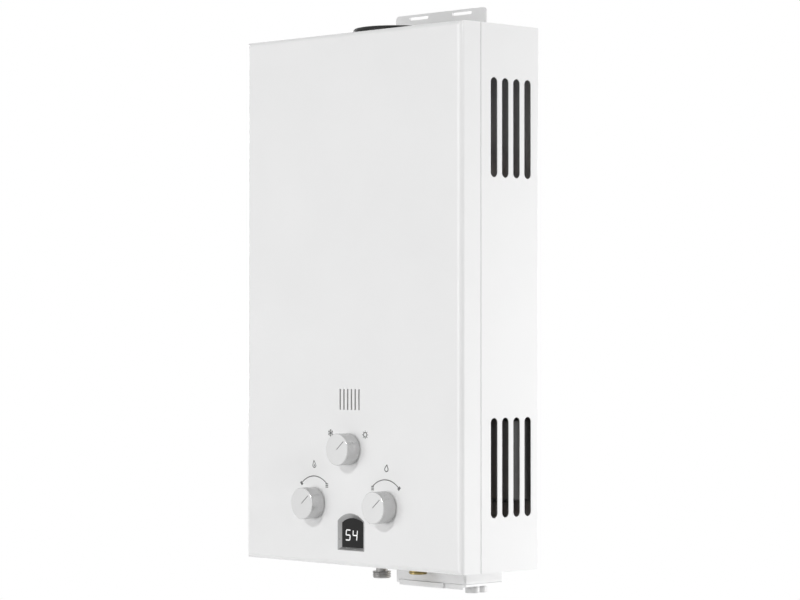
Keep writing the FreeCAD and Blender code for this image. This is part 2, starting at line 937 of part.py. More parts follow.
# Water valve: a cast block with a round flange, the diaphragm and its cover.
flange = 2 * battery_wall
water_valve = joined(
    [
        casting(
            water_left - casting_radius,
            water_right,
            water_valve_front,
            water_valve_front + water_valve_depth,
            water_low,
            water_high,
        ),
        rod_x(diaphragm_radius, water_left - flange, water_left, rod_y_level, rod_z_level),
    ]
)
diaphragm_right = water_left - flange
diaphragm_left = diaphragm_right - battery_wall
dome_left = diaphragm_left - 2 * rod_stroke - battery_wall
boss_left = dome_left - 1.5 * rod_stroke
dome = joined(
    [
        rod_x(diaphragm_radius, dome_left, diaphragm_left, rod_y_level, rod_z_level),
        rod_x(gland_radius + sheet, boss_left, dome_left, rod_y_level, rod_z_level),
    ]
)
dome_room = rod_x(
    diaphragm_radius - gland_radius - sheet,
    dome_left + battery_wall,
    diaphragm_left,
    rod_y_level,
    rod_z_level,
)
screw_ring = diaphragm_radius - 2 * screw_radius
clamp_screws = []
clamp_holes = []
for i in range(diaphragm_screw_count):
    angle = 2 * math.pi * (i + 0.5) / diaphragm_screw_count
    y = rod_y_level + screw_ring * math.cos(angle)
    z = rod_z_level + screw_ring * math.sin(angle)
    clamp_screws.append(
        joined(
            [
                rod_x(screw_radius, dome_left, water_left - sheet, y, z),
                rod_x(1.5 * screw_radius, dome_left - screw_radius, dome_left, y, z),
            ]
        )
    )
    clamp_holes.append(rod_x(screw_radius + running_gap, dome_left - sheet, water_left - sheet / 2, y, z))
save("diaphragm_screws", Part.makeCompound(clamp_screws))
save("diaphragm_cover", dome.cut([dome_room, rod_bore] + clamp_holes))
save("water_valve_body", water_valve.cut([spindle_bores["water"]] + clamp_holes))
rubber = rod_x(diaphragm_radius, diaphragm_left, diaphragm_right, rod_y_level, rod_z_level)
save("diaphragm", rubber.cut(clamp_holes))

# Push rod: moved by the diaphragm, it opens the gas valve. Its lug works the
# lever of the flow switch.
plate_right = diaphragm_left - joint_gap
plate_left = plate_right - battery_wall
lever_x = gas_right + switch_length + 1.5 * rod_stroke
lug_left = lever_x + lever_sheet / 2 + joint_gap
lug_back = rod_y_level + 2 * rod_radius
push_rod = joined(
    [
        rod_x(rod_radius, rod_tip, plate_left, rod_y_level, rod_z_level),
        rod_x(2 * gland_radius, plate_left, plate_right, rod_y_level, rod_z_level),
        block(
            lug_left,
            lug_left + rod_radius,
            rod_y_level,
            lug_back,
            rod_z_level - sheet,
            rod_z_level + sheet,
        ),
    ]
)
save("push_rod", push_rod)

lever_front = rod_y_level + rod_radius + joint_gap
switch_front = lever_front + sheet
switch_back = switch_front + switch_thickness
pivot_z = rod_z_level + lever_arm
save(
    "flow_switch",
    block(
        gas_right,
        gas_right + switch_length,
        switch_front,
        switch_back,
        rod_z_level - switch_height / 2,
        rod_z_level + switch_height / 2 - sheet,
    ),
)
arm_front = switch_back + joint_gap
arm_back = arm_front + 2 * sheet
barrel_radius = 2.2 * pin_radius
switch_bracket = joined(
    [
        block(
            gas_right,
            lever_x + barrel_radius,
            arm_front,
            arm_back,
            pivot_z - barrel_radius,
            pivot_z + barrel_radius,
        ),
        rod_y(pin_radius, lever_front, arm_front, lever_x, pivot_z),
    ]
)
save("switch_bracket", switch_bracket)
blade_back = arm_front - joint_gap
lever = joined(
    [
        rod_y(barrel_radius, lever_front, blade_back, lever_x, pivot_z),
        block(
            lever_x - lever_sheet / 2,
            lever_x + lever_sheet / 2,
            lever_front,
            blade_back,
            rod_z_level - 2 * sheet,
            pivot_z,
        ),
    ]
)
lever = lever.cut(rod_y(pin_radius + running_gap, lever_front - sheet, arm_front, lever_x, pivot_z))
save("switch_lever", lever)

# Water pipes from the water valve to the exchanger and from there to the outlet.
pipe_x = chamber_x + pipe_side_gap
cold_start_z = water_high - 2 * pipe_radius
save(
    "cold_pipe",
    tube(
        [
            (water_right, row_ys[0], cold_start_z),
            (pipe_x, row_ys[0], cold_start_z),
            (pipe_x, row_ys[0], tube_z),
            (tube_end, row_ys[0], tube_z),
        ],
        pipe_radius,
        tube_wall,
        pipe_bend,
    ),
)
save(
    "hot_pipe",
    tube(
        [
            (-tube_end, row_ys[-1], tube_z),
            (-pipe_x, row_ys[-1], tube_z),
            (-pipe_x, row_ys[-1], elbow_z),
            (hot_outlet_x - elbow_half, row_ys[-1], elbow_z),
        ],
        pipe_radius,
        tube_wall,
        pipe_bend,
    ),
)

# Battery box: a moulded housing, open below, hung in a cut-out of the casing's
# floor. A wall inside keeps the cells apart from the latch.
lid_edge = base_z - battery_drop
lid_low = lid_edge + lid_skirt
lid_high = lid_low + lid_sheet
box_low = lid_high + 1.5 * fit_gap
cell_low = box_low + sheet / 2
cell_high = cell_low + cell_length
contact_gap = 3 * battery_wall
box_high = cell_high + contact_gap + battery_wall
housing = block(battery_left, battery_right, battery_front, battery_back, box_low, box_high)
housing = housing.makeFillet(
    battery_corner,
    edges_where(housing, lambda b: b.ZLength > battery_corner and b.XMin > battery_left + sheet),
)
divider = battery_left + battery_wall + 4 * cell_radius + 2 * battery_wall
latch_room_right = battery_right - battery_wall
rooms = [
    block(
        battery_left + battery_wall,
        divider,
        battery_front + battery_wall,
        battery_back - battery_wall,
        box_low - sheet,
        box_high - battery_wall,
    ),
    block(
        divider + battery_wall,
        latch_room_right,
        battery_front + battery_wall,
        battery_back - battery_wall,
        box_low - sheet,
        box_high - battery_wall,
    ),
]
housing = housing.cut(rooms)
ear_room = 5 * sheet - fit_gap
latch_x = (divider + battery_wall + latch_room_right) / 2
cell_y = (battery_front + battery_back) / 2
latch_y = cell_y + latch_offset
cam_half = cam_length / 2
rib_left = latch_x + cam_half - cam_overlap
hinge_x = battery_left + hinge_radius
hinge_z = lid_low + lid_sheet / 2
knuckle_front = battery_front + ear_length + joint_gap
knuckle_back = battery_back - ear_length - joint_gap
hinge_room = hinge_radius + joint_gap
pieces = [
    housing.cut(rod_y(hinge_room, battery_front + ear_length, battery_back - ear_length, hinge_x, hinge_z)),
    block(
        battery_left - ear_room,
        battery_left,
        battery_front,
        battery_back,
        base_z + sheet,
        base_z + 3 * sheet,
    ),
    block(
        battery_right,
        battery_right + ear_room,
        battery_front,
        battery_back,
        base_z + sheet,
        base_z + 3 * sheet,
    ),
    block(
        rib_left,
        latch_room_right,
        battery_front + battery_wall,
        battery_back - battery_wall,
        box_low,
        box_low + 1.5 * sheet,
    ),
    rod_y(hinge_pin, battery_front, battery_back, hinge_x, hinge_z),
]
for y in (battery_front, battery_back - ear_length):
    pieces.append(rod_y(hinge_radius, y, y + ear_length, hinge_x, hinge_z))
    pieces.append(block(battery_left, hinge_x, y, y + ear_length, hinge_z, box_low + hinge_radius))
save("battery_box", joined(pieces))

cell_xs = [battery_left + battery_wall + battery_wall / 2 + cell_radius]
cell_xs.append(cell_xs[0] + 2 * cell_radius + battery_wall / 2)
for side, x in (("left", cell_xs[0]), ("right", cell_xs[1])):
    save("battery_cell_" + side, rod_z(cell_radius, cell_low, cell_high, x, cell_y))
strip_low = cell_high + contact_gap - sheet / 2
contacts = [
    block(
        cell_xs[0] - gland_radius,
        cell_xs[1] + gland_radius,
        cell_y - gland_radius,
        cell_y + gland_radius,
        strip_low,
        cell_high + contact_gap,
    )
]
for x in cell_xs:
    contacts.append(rod_z(gland_radius / 2, cell_high, strip_low, x, cell_y))
save("battery_contacts", joined(contacts))

# Battery lid: hinged at the left on the pin of the housing, with a finger lip in
# front. Its plate leaves room for the housing's two ears, and a skirt stiffens
# its front edge.
lip_left = battery_left + lid_lip_inset
lip_right = divider
lip_front = battery_front - lid_sheet
lip_back = battery_front - 1.5 * fit_gap
skirt_left = hinge_x + hinge_room
skirt_right = battery_right - battery_corner
skirt_back = battery_front + battery_wall
lid_plate = block(hinge_x, battery_right, battery_front, battery_back, lid_low, lid_high)
lid_plate = lid_plate.makeFillet(
    battery_corner,
    edges_where(lid_plate, lambda b: b.ZLength > sheet and b.XMin > hinge_x + sheet),
)
lid = joined(
    [
        lid_plate,
        rod_y(hinge_radius, knuckle_front, knuckle_back, hinge_x, hinge_z),
        block(skirt_left, skirt_right, battery_front, skirt_back, lid_edge, lid_high),
        block(lip_left, lip_right, lip_front, battery_front, lid_edge, lid_high - fit_gap),
        block(lip_left, lip_right, lip_front, lip_back, lid_edge, lid_edge + 2 * lid_sheet),
    ]
)
latch_bore = spindle_radius + running_gap
lid = lid.cut(
    [
        rod_y(hinge_pin + running_gap, battery_front, battery_back, hinge_x, hinge_z),
        rod_y(hinge_room, battery_front, knuckle_front, hinge_x, hinge_z),
        rod_y(hinge_room, knuckle_back, battery_back, hinge_x, hinge_z),
        rod_z(latch_bore, lid_low - sheet, lid_high + sheet, latch_x, latch_y),
    ]
)
save("battery_lid", lid)

# Battery latch: a two-lobed turn button under the lid, its cam above the rib.
cam_low = box_low + 1.5 * sheet + joint_gap
cam_high = cam_low + battery_wall
button_high = lid_low - joint_gap
button_low = button_high - latch_height
lobe_offset = latch_reach - latch_lobe
web = latch_lobe / 2
latch = [
    rod_z(spindle_radius, button_low, cam_high, latch_x, latch_y),
    block(
        latch_x - spindle_radius,
        latch_x + spindle_radius,
        latch_y - cam_half,
        latch_y + cam_half,
        cam_low,
        cam_high,
    ),
    block(
        latch_x - web,
        latch_x + web,
        latch_y - lobe_offset,
        latch_y + lobe_offset,
        button_low,
        button_high,
    ),
]
for side in (-1, 1):
    latch.append(rod_z(latch_lobe, button_low, button_high, latch_x, latch_y + side * lobe_offset))
save("battery_latch", joined(latch))

# Spark generator: a moulded box on the back of the casing, right of the chamber.
igniter_left = chamber_x + ledge
igniter_right = inside_x - ledge
igniter_low = box_high + igniter_rise
igniter = casting(
    igniter_left,
    igniter_right,
    inner_back_y - igniter_depth,
    inner_back_y,
    igniter_low,
    igniter_low + igniter_height,
)
terminals = []
for x in spread(terminal_count, 3 * terminal_radius):
    terminals.append(
        rod_z(
            terminal_radius,
            igniter_low - terminal_radius,
            igniter_low + casting_radius,
            (igniter_left + igniter_right) / 2 + x,
            inner_back_y - igniter_depth / 2,
        )
    )
save("spark_generator", joined([igniter] + terminals))
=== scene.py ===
import math

import bmesh
import bpy
from mathutils import Matrix, Vector


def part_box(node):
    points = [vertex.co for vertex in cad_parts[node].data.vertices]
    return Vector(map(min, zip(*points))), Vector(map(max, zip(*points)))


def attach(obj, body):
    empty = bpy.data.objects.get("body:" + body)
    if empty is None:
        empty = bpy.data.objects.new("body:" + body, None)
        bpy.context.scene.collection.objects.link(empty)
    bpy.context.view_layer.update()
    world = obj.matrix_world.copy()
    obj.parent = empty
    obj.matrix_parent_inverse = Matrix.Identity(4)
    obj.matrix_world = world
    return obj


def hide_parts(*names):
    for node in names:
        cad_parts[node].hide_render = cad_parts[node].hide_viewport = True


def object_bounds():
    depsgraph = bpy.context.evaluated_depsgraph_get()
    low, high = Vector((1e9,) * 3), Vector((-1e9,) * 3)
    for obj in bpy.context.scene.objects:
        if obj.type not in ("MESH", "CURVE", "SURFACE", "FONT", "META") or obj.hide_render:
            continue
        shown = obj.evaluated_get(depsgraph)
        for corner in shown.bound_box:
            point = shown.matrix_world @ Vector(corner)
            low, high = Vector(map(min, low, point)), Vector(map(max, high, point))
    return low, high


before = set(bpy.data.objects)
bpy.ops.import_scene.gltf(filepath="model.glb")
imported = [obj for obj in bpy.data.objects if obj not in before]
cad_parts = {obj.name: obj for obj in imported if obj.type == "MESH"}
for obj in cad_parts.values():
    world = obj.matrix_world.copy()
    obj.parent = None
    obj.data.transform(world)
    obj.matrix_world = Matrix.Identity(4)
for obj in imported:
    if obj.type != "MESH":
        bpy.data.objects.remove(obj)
cad_low, cad_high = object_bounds()


# Rear casing: a tray bent from 1 mm steel sheet that everything is fixed to. It
# is powder-coated satin white, which leaves a fine orange peel on the sheet. The
# inside is painted greyer, a painted shade for the dark inside the casing.
def tone(level, warmth=0.0):
    """A grey by its level on the screen, 0 to 255, warmer or cooler by a few levels."""
    levels = (level + warmth, level, level - warmth)
    return tuple(((value / 255 + 0.055) / 1.055) ** 2.4 for value in levels)


def shader_of(material):
    return material.node_tree.nodes["Principled BSDF"]


def finish(name, colour, roughness, metallic=0.0, specular=0.5):
    """A material of one colour, before it gets its pattern."""
    material = bpy.data.materials.new(name)
    material.use_nodes = True
    shader = shader_of(material)
    shader.inputs["Base Color"].default_value = (*colour, 1)
    shader.inputs["Roughness"].default_value = roughness
    shader.inputs["Metallic"].default_value = metallic
    shader.inputs["Specular IOR Level"].default_value = specular
    return material


def place(material, stretch=(1, 1, 1), centre=(0, 0, 0)):
    """The object's own coordinates, moved to a centre and stretched along the axes."""
    tree = material.node_tree
    where = tree.nodes.new("ShaderNodeTexCoord")
    mapping = tree.nodes.new("ShaderNodeMapping")
    mapping.inputs["Scale"].default_value = stretch
    mapping.inputs["Location"].default_value = [-c * s for c, s in zip(centre, stretch)]
    tree.links.new(where.outputs["Object"], mapping.inputs["Vector"])
    return mapping.outputs["Vector"]


def noise(material, grains, detail=2.0, where=None):
    """Noise with so many grains to the metre."""
    node = material.node_tree.nodes.new("ShaderNodeTexNoise")
    node.inputs["Scale"].default_value = grains
    node.inputs["Detail"].default_value = detail
    material.node_tree.links.new(where or place(material), node.inputs["Vector"])
    return node.outputs["Fac"]


def shades(material, pattern, dark, light, low=0.3, high=0.7):
    """Colours the surface between two shades by a pattern."""
    tree = material.node_tree
    ramp = tree.nodes.new("ShaderNodeValToRGB")
    for stop, position, colour in zip(ramp.color_ramp.elements, (low, high), (dark, light)):
        stop.position = position
        stop.color = (*colour, 1)
    tree.links.new(pattern, ramp.inputs["Fac"])
    tree.links.new(ramp.outputs["Color"], shader_of(material).inputs["Base Color"])


def spread(tree, value, low, high, start=0.0, end=1.0):
    """Turns a value that runs from start to end into one that runs from low to high."""
    span = tree.nodes.new("ShaderNodeMapRange")
    span.inputs["From Min"].default_value = start
    span.inputs["From Max"].default_value = end
    span.inputs["To Min"].default_value = low
    span.inputs["To Max"].default_value = high
    tree.links.new(value, span.inputs["Value"])
    return span.outputs["Result"]


def gloss(material, pattern, low, high):
    """Varies the roughness between two values by a pattern."""
    tree = material.node_tree
    roughness = spread(tree, pattern, low, high)
    tree.links.new(roughness, shader_of(material).inputs["Roughness"])


def relief(material, pattern, depth, strength):
    """Raises the surface by a pattern, with its depth in metres."""
    tree = material.node_tree
    bump = tree.nodes.new("ShaderNodeBump")
    bump.inputs["Distance"].default_value = depth
    bump.inputs["Strength"].default_value = strength
    tree.links.new(pattern, bump.inputs["Height"])
    tree.links.new(bump.outputs["Normal"], shader_of(material).inputs["Normal"])


def powder_coat(name, level):
    """Satin baked powder: even in colour, with a fine orange peel under a clear skin."""
    material = finish(name, tone(level), roughness=0.38)
    shades(material, noise(material, grains=9), tone(level - 1.5), tone(level + 1))
    gloss(material, noise(material, grains=140), low=0.34, high=0.44)
    orange_peel = noise(material, grains=900, detail=1)
    relief(material, orange_peel, depth=0.00004, strength=0.25)
    shader_of(material).inputs["Coat Weight"].default_value = 0.8
    shader_of(material).inputs["Coat Roughness"].default_value = 0.1
    return material


def maths(tree, operation, *values):
    """Works on numbers and on what other nodes give."""
    node = tree.nodes.new("ShaderNodeMath")
    node.operation = operation
    for socket, value in zip(node.inputs, values):
        if isinstance(value, bpy.types.NodeSocket):
            tree.links.new(value, socket)
        else:
            socket.default_value = value
    return node.outputs[0]


def paint_inside_shade(material, low, high, level):
    """Paints shade on the faces that lie within a box by making the paint greyer there."""
    tree = material.node_tree
    paint = shader_of(material).inputs["Base Color"]
    where = tree.nodes.new("ShaderNodeSeparateXYZ")
    tree.links.new(place(material), where.inputs["Vector"])
    within = 1.0
    for axis in range(3):
        centre = (low[axis] + high[axis]) / 2
        half = (high[axis] - low[axis]) / 2
        between = maths(tree, "COMPARE", where.outputs[axis], centre, half)
        within = maths(tree, "MULTIPLY", within, between)
    blend = tree.nodes.new("ShaderNodeMix")
    blend.data_type = "RGBA"
    outer_colour, shade_colour = blend.inputs[6], blend.inputs[7]
    shade_colour.default_value = (*tone(level), 1)
    tree.links.new(within, blend.inputs["Factor"])
    tree.links.new(paint.links[0].from_socket, outer_colour)
    tree.links.new(blend.outputs[2], paint)


def dress(material, *names):
    """Gives nodes of the frame their material."""
    for name in names:
        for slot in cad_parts[name].material_slots:
            slot.material = material


cabinet_white = 242
inside_shade_grey = 192
casing_sheet = 0.001
half_sheet = Vector((casing_sheet, casing_sheet, casing_sheet)) / 2
casing_low, casing_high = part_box("rear_casing")
casing_paint = powder_coat("casing_paint", cabinet_white)
# Painted shade: the faces inside the casing are painted greyer than the outside.
paint_inside_shade(casing_paint, casing_low + half_sheet, casing_high - half_sheet, inside_shade_grey)
dress(casing_paint, "rear_casing")


# Wall brackets: two plates of 2 mm sheet with bent sides, welded to the casing's
# back by their feet and painted light grey. Screws in the wall go through both.
bracket_grey = 234
bracket_paint = powder_coat("bracket_paint", bracket_grey)
dress(bracket_paint, "top_wall_bracket", "bottom_wall_bracket")


# Combustion chamber and draught hood: folded sheet above the burner. The chamber
# is coated dull grey against the heat, the hood galvanised, with its spangle.
def coated_sheet(name, level, warmth, crystals):
    """Sheet with the crystals of its metal coating, so many to the metre."""
    material = finish(name, tone(level, warmth), roughness=0.4, metallic=1.0)
    spangle = material.node_tree.nodes.new("ShaderNodeTexVoronoi")
    spangle.inputs["Scale"].default_value = crystals
    material.node_tree.links.new(place(material), spangle.inputs["Vector"])
    dark = tone(level - 14, warmth)
    light = tone(level + 12, warmth)
    shades(material, spangle.outputs["Distance"], dark, light, low=0.0, high=0.8)
    gloss(material, noise(material, grains=60), low=0.32, high=0.5)
    return material


dress(coated_sheet("lead_coat", level=168, warmth=2, crystals=110), "combustion_chamber")
galvanised = coated_sheet("galvanised", level=186, warmth=-1, crystals=160)
dress(galvanised, "draught_hood")


# Heat exchanger: a serpentine of copper tube through a pack of copper fins, with
# the pipes that feed and drain it. Heat has dulled the copper in broad clouds.
def copper(name, dark, light, roughness):
    material = finish(name, light, roughness, metallic=1.0)
    shades(material, noise(material, grains=35, detail=4), dark, light)
    gloss(material, noise(material, grains=120), roughness - 0.06, roughness + 0.1)
    return material


tube_copper = copper("bright_copper", (0.60, 0.22, 0.12), (0.86, 0.42, 0.27), roughness=0.28)
dress(tube_copper, "exchanger_tube", "cold_pipe", "hot_pipe")
fin_copper = copper("fin_copper", (0.42, 0.17, 0.10), (0.74, 0.36, 0.23), roughness=0.4)
dress(fin_copper, "fin_block")


# Overheat cut-out: a small bimetal switch in a round body of black moulding, held
# against the side of the chamber.
def moulding(name, level, roughness=0.45):
    """Moulded plastic, spark-eroded to a fine matt grain."""
    material = finish(name, tone(level), roughness)
    shades(material, noise(material, grains=40), tone(level - 2), tone(level + 2))
    gloss(material, noise(material, grains=300), roughness - 0.05, roughness + 0.08)
    relief(material, noise(material, grains=2600, detail=1), depth=0.00003, strength=0.3)
    return material


black_moulding = moulding("black_moulding", level=38)
dress(black_moulding, "overheat_cutout")


# Spark generator: a sealed box of grey moulding on the back of the casing, to the
# right of the chamber and behind the lower vents.
dress(moulding("grey_moulding", level=112), "spark_generator")


# Flue collar: a stepped ring in matt black enamel that stands on the hood and
# comes out through the top of the casing. The flue pipe slips over it.
enamel = finish("black_enamel", tone(24), roughness=0.5, specular=0.25)
shades(enamel, noise(enamel, grains=60), tone(14), tone(26))
gloss(enamel, noise(enamel, grains=220), low=0.4, high=0.6)
relief(enamel, noise(enamel, grains=1500, detail=1), depth=0.00004, strength=0.4)
dress(enamel, "flue_collar")


# Burner: six folded bars of stainless steel, straw-coloured by the heat, in a
# frame of galvanised sheet, with the cast aluminium gas manifold in front.
def drawn_steel(name, level, along, roughness=0.3, warmth=0.0):
    """Steel with the fine lines of drawing or brushing along an axis."""
    material = finish(name, tone(level, warmth), roughness, metallic=1.0)
    stretch = [1 if axis == along else 60 for axis in "XYZ"]
    lines = noise(material, grains=30, detail=3, where=place(material, stretch))
    shades(material, lines, tone(level - 12, warmth), tone(level + 8, warmth))
    gloss(material, lines, roughness - 0.06, roughness + 0.1)
    relief(material, lines, depth=0.00002, strength=0.3)
    return material


def casting(name, dark, light):
    """Die-cast metal: a fine grain, and the darker patches that casting leaves."""
    material = finish(name, light, roughness=0.45, metallic=1.0)
    shades(material, noise(material, grains=45, detail=4), dark, light)
    gloss(material, noise(material, grains=200), low=0.4, high=0.6)
    relief(material, noise(material, grains=1100, detail=3), depth=0.00008, strength=0.5)
    return material


bar_steel = drawn_steel("bar_steel", 176, along="Y", roughness=0.34, warmth=6)
dress(bar_steel, *["burner_bar_%d" % number for number in range(1, 7)])
dress(galvanised, "burner_frame")
cast_aluminium = casting("cast_aluminium", tone(172), tone(196))
dress(cast_aluminium, "gas_manifold")


# Electrodes: a spark electrode and a flame probe, steel wire in white glazed
# porcelain, held side by side by a steel plate.
porcelain = finish("porcelain", tone(232, 3), roughness=0.16)
shades(porcelain, noise(porcelain, grains=180), tone(224, 3), tone(238, 2))
dress(porcelain, "spark_electrode", "flame_probe")
plain_steel = drawn_steel("plain_steel", 190, along="Z")
dress(plain_steel, "electrode_holder")


# Gas side: the valve body and the season selector are cast in aluminium. The
# solenoid at the valve's side has a coil in black moulding.
dress(cast_aluminium, "gas_valve_body", "season_selector")
dress(black_moulding, "gas_solenoid")


# Water side: the valve and its diaphragm cover are cast in brass and screwed
# together over a rubber diaphragm. Its ground steel rod opens the gas valve and
# tips the lever of the flow switch.
cast_brass = casting("cast_brass", (0.46, 0.29, 0.09), (0.62, 0.42, 0.15))
dress(cast_brass, "water_valve_body", "diaphragm_cover")
rubber = finish("black_rubber", tone(26), roughness=0.7)
shades(rubber, noise(rubber, grains=90), tone(22), tone(34))
dress(rubber, "diaphragm")
zinc = drawn_steel("zinc", 205, along="Z")
dress(zinc, "diaphragm_screws")
dress(drawn_steel("rod_steel", 205, along="X", roughness=0.22), "push_rod")
dress(black_moulding, "flow_switch")
dress(plain_steel, "switch_bracket", "switch_lever")


# Threaded fittings under the floor: the gas inlet in nickel-plated steel, the
# cold inlet and the hot outlet in turned brass, the cold one dulled.
def turned(name, dark, light, roughness):
    """Metal off the lathe, with the tool's rings and a little tarnish."""
    material = finish(name, light, roughness, metallic=1.0)
    shades(material, noise(material, grains=70, detail=4), dark, light)
    rings = noise(material, grains=40, where=place(material, stretch=(1, 1, 60)))
    gloss(material, rings, roughness - 0.08, roughness + 0.1)
    relief(material, rings, depth=0.00003, strength=0.3)
    return material


def finished(name, shape, material, body, smooth=35):
    """Turns a bmesh into a piece of the object, smooth where it bends by less."""
    bmesh.ops.remove_doubles(shape, verts=shape.verts, dist=1e-7)
    bmesh.ops.recalc_face_normals(shape, faces=shape.faces)
    mesh = bpy.data.meshes.new(name)
    shape.to_mesh(mesh)
    shape.free()
    mesh.shade_smooth()
    mesh.set_sharp_from_angle(angle=math.radians(smooth))
    piece = bpy.data.objects.new(name, mesh)
    bpy.context.scene.collection.objects.link(piece)
    mesh.materials.append(material)
    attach(piece, body)
    return piece


thread_pitch = 0.001814
thread_root = 0.0097
thread_crest = 0.01044
thread_collar = 0.0006
thread_chamfer = 0.0006
thread_start = 0.0008
thread_ends = 0.0022
tooth_foot = 0.0006
tooth_tip = 0.0001
tooth_sunk = 0.0002
tooth_steps = 48
fitting_wall = 0.002


def threaded(name, node, neck, thread, material):
    """A pipe end below the floor: a bored neck and a male thread cut as a helix."""
    low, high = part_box(node)
    centre = (low + high) / 2
    shoulder = low.z + thread
    outline = [
        (0, high.z),
        (neck, high.z),
        (neck, shoulder),
        (thread_crest, shoulder),
        (thread_crest, shoulder - thread_collar),
        (thread_root, shoulder - 2 * thread_collar),
        (thread_root, low.z + thread_chamfer),
        (thread_root - thread_chamfer, low.z),
        (neck - fitting_wall, low.z),
        (neck - fitting_wall, high.z - fitting_wall),
        (0, high.z - fitting_wall),
    ]
    shape = bmesh.new()
    corners = [shape.verts.new((centre.x + radius, centre.y, z)) for radius, z in outline]
    edges = [shape.edges.new(pair) for pair in zip(corners, corners[1:])]
    bmesh.ops.spin(
        shape,
        geom=corners + edges,
        cent=centre,
        axis=(0, 0, 1),
        angle=math.tau,
        steps=72,
        use_merge=True,
    )
    bmesh.ops.remove_doubles(shape, verts=shape.verts, dist=1e-7)
    section = [
        (thread_root - tooth_sunk, -tooth_foot),
        (thread_crest, -tooth_tip),
        (thread_crest, tooth_tip),
        (thread_root - tooth_sunk, tooth_foot),
    ]
    start = low.z + thread_start
    tooth = [shape.verts.new((centre.x + radius, centre.y, start + up)) for radius, up in section]
    tooth_face = shape.faces.new(tooth)
    turns = (thread - thread_ends) / thread_pitch
    steps = round(tooth_steps * turns)
    bmesh.ops.spin(
        shape,
        geom=tooth + tooth_face.edges[:] + [tooth_face],
        cent=centre,
        axis=(0, 0, 1),
        angle=math.tau * turns,
        dvec=(0, 0, thread_pitch * turns / steps),
        steps=steps,
    )
    piece = finished(name, shape, material, "heater", smooth=25)
    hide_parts(node)


nickel = turned("nickel", tone(140, 1), tone(172, 1), roughness=0.5)
dull_brass = turned("dull_brass", (0.19, 0.15, 0.065), (0.37, 0.29, 0.13), roughness=0.36)
yellow_brass = turned("yellow_brass", (0.36, 0.23, 0.05), (0.70, 0.50, 0.16), roughness=0.3)
threaded("gas_thread", "gas_inlet", neck=0.0065, thread=0.0075, material=nickel)
threaded("cold_thread", "cold_inlet", neck=0.0075, thread=0.0052, material=dull_brass)
dress(yellow_brass, "hot_outlet")


# Battery box: a white moulding hung in the floor, with two plain cells in dark
# blue sleeves on spring contacts, a hinged lid and its turn latch.
white_moulding = moulding("white_moulding", level=242, roughness=0.42)
dress(white_moulding, "battery_box", "battery_lid")
dress(moulding("latch_moulding", level=214, roughness=0.42), "battery_latch")
cell_sleeve = finish("cell_sleeve", (0.02, 0.05, 0.11), roughness=0.3)
shades(cell_sleeve, noise(cell_sleeve, grains=60), (0.016, 0.04, 0.09), (0.028, 0.07, 0.15))
dress(cell_sleeve, "battery_cell_left", "battery_cell_right")
dress(plain_steel, "battery_contacts")


# Front cover: a shallow pan bent from the same sheet in the same white, screwed
# up from below. A strip of mica closes the slots of the burner window.
dress(powder_coat("white_powder", cabinet_white), "front_cover")
dress(zinc, "cover_screws")
mica = finish("mica", tone(120), roughness=0.2)
shades(mica, noise(mica, grains=50, detail=4), tone(113, 2), tone(127, 2))
dress(mica, "sight_glass")


# Printed marks on the cover, in grey ink: a snowflake and a sun for the season, a
# flame and a drop over the two lower knobs, and an arc round each of these.
ink = finish("grey_ink", tone(98), roughness=0.5)
shades(ink, noise(ink, grains=500), tone(92), tone(104))
ink_thickness = 0.00006
cover_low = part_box("front_cover")[0]


def thicken(shape, depth):
    """Gives flat faces that look along -Y their thickness, forwards."""
    grown = bmesh.ops.extrude_face_region(shape, geom=shape.faces[:])
    front = [part for part in grown["geom"] if isinstance(part, bmesh.types.BMVert)]
    bmesh.ops.translate(shape, verts=front, vec=(0, -depth, 0))


def spoke(turn, length):
    """From a centre to the end of a spoke, turned clockwise from upright in degrees."""
    return Matrix.Rotation(math.radians(turn), 3, "Y") @ Vector((0, 0, length))


def stroke(shape, length, width, turn, centre):
    """A straight printed line about a centre, turned clockwise in degrees."""
    line = bmesh.ops.create_grid(shape, x_segments=1, y_segments=1, size=0.5)["verts"]
    bmesh.ops.scale(shape, verts=line, vec=(width, length, 1))
    lay_on = (
        Matrix.Translation(centre)
        @ Matrix.Rotation(math.radians(turn), 4, "Y")
        @ Matrix.Rotation(math.radians(90), 4, "X")
    )
    bmesh.ops.transform(shape, verts=line, matrix=lay_on)


def curved_stroke(shape, radius, width, start, sweep, centre):
    """A printed arc about a centre, from a start angle clockwise from upright."""
    radii = (radius - width / 2, radius + width / 2)
    ends = [shape.verts.new(centre + spoke(start, reach)) for reach in radii]
    bmesh.ops.spin(
        shape,
        geom=ends + [shape.edges.new(ends)],
        cent=centre,
        axis=(0, 1, 0),
        angle=math.radians(sweep),
        steps=round(sweep / 4),
        use_merge=sweep == 360,
    )


def on_cover(across, up):
    """A place on the front of the cover, from its middle and its lower edge."""
    return Vector((across, cover_low.y, cover_low.z + up))


def printed(name, shape):
    """Lays a mark on the cover as a thin coat of ink."""
    thicken(shape, ink_thickness)
    finished(name, shape, ink, "heater")


flake_centre = on_cover(across=-0.0305, up=0.146)
flake_arm = 0.0041
flake_line = 0.0010
fork_from = 0.6 * flake_arm
fork_reach = 0.0008
fork_length = 0.0018
fork_line = 0.0007
fork_lean = 50
flake = bmesh.new()
for turn in range(0, 180, 60):
    stroke(flake, 2 * flake_arm, flake_line, turn, flake_centre)
for turn in range(0, 360, 60):
    for lean in (-fork_lean, fork_lean):
        fork_middle = flake_centre + spoke(turn, fork_from) + spoke(turn + lean, fork_reach)
        stroke(flake, fork_length, fork_line, turn + lean, fork_middle)
printed("mark_snowflake", flake)

